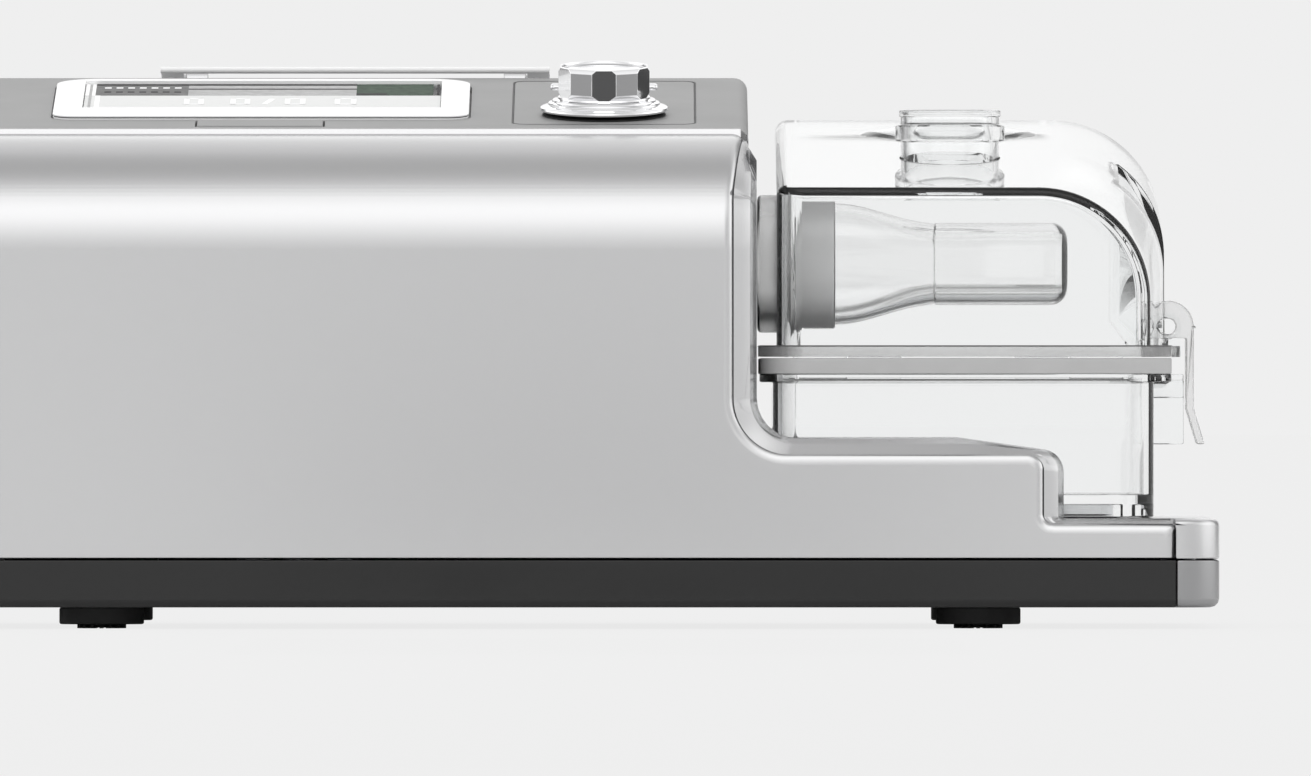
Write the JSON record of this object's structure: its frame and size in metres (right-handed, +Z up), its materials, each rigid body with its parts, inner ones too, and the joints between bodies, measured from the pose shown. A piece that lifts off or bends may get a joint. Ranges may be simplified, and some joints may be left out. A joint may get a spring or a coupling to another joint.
{
  "type": "positive airway pressure machine",
  "caption": "Bedside breathing machine with sloped display deck, push-and-turn chrome knob, bar button, fold-up handle and slide-out clear humidifier tank.",
  "frame": {"origin": "middle of the footprint, on the surface that the feet stand on", "axes": "+X from the display side to the tank side, +Z up, -Y towards the user"},
  "size_m": [0.281, 0.17, 0.1259],
  "materials": {
    "lower_shell": "satin",
    "upper_shell": "satin",
    "silver": "metallic silver",
    "black_gloss": "gloss",
    "deck_grey": "satin",
    "white_gloss": "gloss",
    "display_glass": "clear",
    "dark_plastic": "matte",
    "inner_plastic": "matte",
    "circuit_board": "matte",
    "chrome": "polished",
    "rubber_black": "matte",
    "rubber_grey": "matte",
    "handle_grey": "satin",
    "clear_plastic": "clear",
    "frosted_plastic": "frosted",
    "steel": "brushed",
    "aluminium": "satin",
    "filter_foam": "fibrous"
  },
  "bodies": {
    "machine": {"lower_shell": "lower_shell", "upper_shell": "upper_shell", "front_fascia": "silver", "front_strip": "black_gloss", "handle_pin_left": "steel", "handle_pin_right": "steel", "filter_frame": "inner_plastic", "air_filter": "filter_foam", "filter_door_pin": "steel", "power_inlet": "dark_plastic", "foot_front_left": "rubber_black", "foot_front_right": "rubber_black", "foot_rear_left": "rubber_black", "foot_rear_right": "rubber_black", "base_screw_1": "steel", "base_screw_2": "steel", "base_screw_3": "steel", "base_screw_4": "steel", "main_board": "circuit_board", "inner_chassis": "inner_plastic", "blower_mount": "rubber_black", "blower_housing": "inner_plastic", "blower_cover": "inner_plastic", "blower_motor": "steel", "outlet_duct": "inner_plastic", "heater_plate": "steel", "heater_carrier": "dark_plastic", "deck_panel": "deck_grey", "display_bezel": "white_gloss", "display_window": "display_glass", "display_module": "dark_plastic", "control_board": "circuit_board", "knob_inset": "deck_grey", "knob_ring": "rubber_black", "encoder_body": "dark_plastic"},
    "handle": {"carry_handle": "handle_grey"},
    "rear_door": {"filter_door": "lower_shell"},
    "blower_wheel": {"impeller": "dark_plastic", "impeller_shaft": "steel"},
    "bar_button": {"display_button": "deck_grey"},
    "knob_press_stem": {"encoder_sleeve": "steel"},
    "knob_turned": {"knob": "chrome", "knob_shaft": "steel"},
    "tank": {"tank_tub": "clear_plastic", "tank_base_plate": "aluminium", "tank_seal": "rubber_grey", "tank_hinge_pin": "steel"},
    "lid": {"tank_lid": "clear_plastic", "outlet_port": "clear_plastic", "inlet_duct": "frosted_plastic", "inlet_seal": "rubber_grey", "latch_pin": "clear_plastic"},
    "latch": {"lid_latch": "clear_plastic"}
  },
  "joints": [
    {"name": "handle_lift", "type": "hinge", "parent": "machine", "child": "handle", "pos_m": [-0.05095, 0.0661, 0.12216], "axis": [-1, 0, 0], "range_deg": [0, 100]},
    {"name": "filter_door_swing", "type": "hinge", "parent": "machine", "child": "rear_door", "pos_m": [-0.092, 0.0836, 0.036], "axis": [-1, 0, 0], "range_deg": [0, 95]},
    {"name": "blower_spin", "type": "hinge", "parent": "machine", "child": "blower_wheel", "pos_m": [-0.019, 0.014, 0.078], "axis": [0, 0, 1], "continuous": true},
    {"name": "bar_button_press", "type": "slide", "parent": "machine", "child": "bar_button", "axis": [0, 0.1219, -0.9925], "range_m": [0, 0.0006], "stiffness_N_per_m": 600, "springref_m": -0.0015},
    {"name": "knob_press", "type": "slide", "parent": "machine", "child": "knob_press_stem", "axis": [0, 0.1219, -0.9925], "range_m": [0, 0.0005], "stiffness_N_per_m": 800, "springref_m": -0.002},
    {"name": "knob_turn", "type": "hinge", "parent": "knob_press_stem", "child": "knob_turned", "pos_m": [0.0049, -0.03646, 0.11343], "axis": [0, -0.1219, 0.9925], "continuous": true},
    {"name": "tank_slide", "type": "slide", "parent": "machine", "child": "tank", "axis": [1, 0, 0], "range_m": [0, 0.12]},
    {"name": "lid_swing", "type": "hinge", "parent": "tank", "child": "lid", "pos_m": [0.0842, 0.0602, 0.058], "axis": [-1, 0, 0], "range_deg": [0, 100]},
    {"name": "latch_swing", "type": "hinge", "parent": "lid", "child": "latch", "pos_m": [0.1302, -0.008, 0.0667], "axis": [0, -1, 0], "range_deg": [0, 70]}
  ]
}
